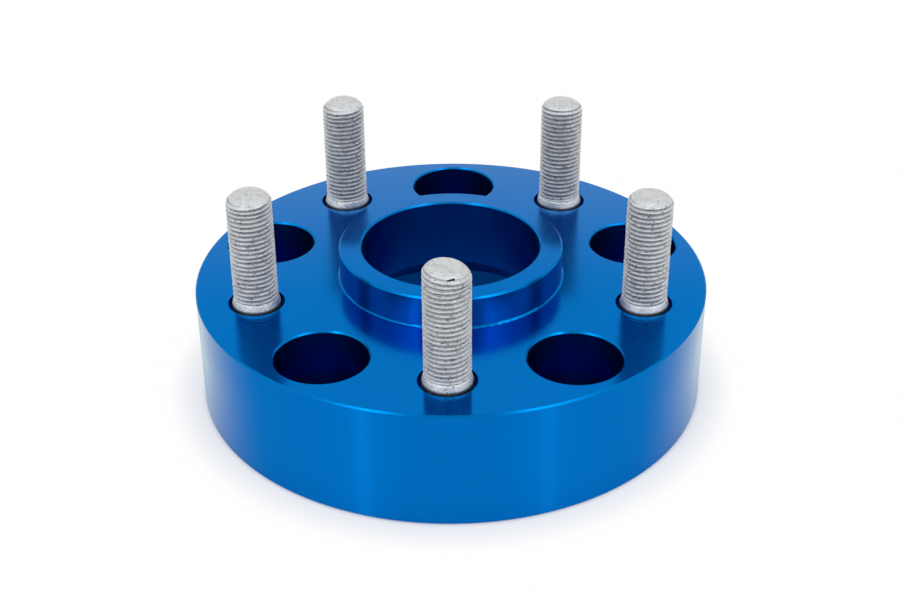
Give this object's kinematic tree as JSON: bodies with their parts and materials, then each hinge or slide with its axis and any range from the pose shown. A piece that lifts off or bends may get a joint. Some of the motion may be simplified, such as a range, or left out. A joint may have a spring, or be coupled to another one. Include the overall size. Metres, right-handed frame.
{
  "type": "wheel spacer",
  "caption": "Hub-centric bolt-on wheel spacer: a blue anodised ring with a centring lip, recessed lug holes for the hub's nuts and pressed-in threaded studs that carry the wheel.",
  "frame": {"origin": "centre of the hub face, on the ring's axis", "axes": "+Z along the ring's axis from the hub to the wheel, with a stud on -Y"},
  "size_m": [0.1634, 0.1634, 0.0761],
  "materials": {
    "blue_anodised": "bright blue anodising over fine turning marks, satin gloss",
    "zinc_steel": "matt light grey zinc coating with small dark specks"
  },
  "bodies": {
    "root": {"spacer_body": "blue_anodised", "wheel_stud_1": "zinc_steel", "wheel_stud_2": "zinc_steel", "wheel_stud_3": "zinc_steel", "wheel_stud_4": "zinc_steel", "wheel_stud_5": "zinc_steel"}
  },
  "joints": []
}
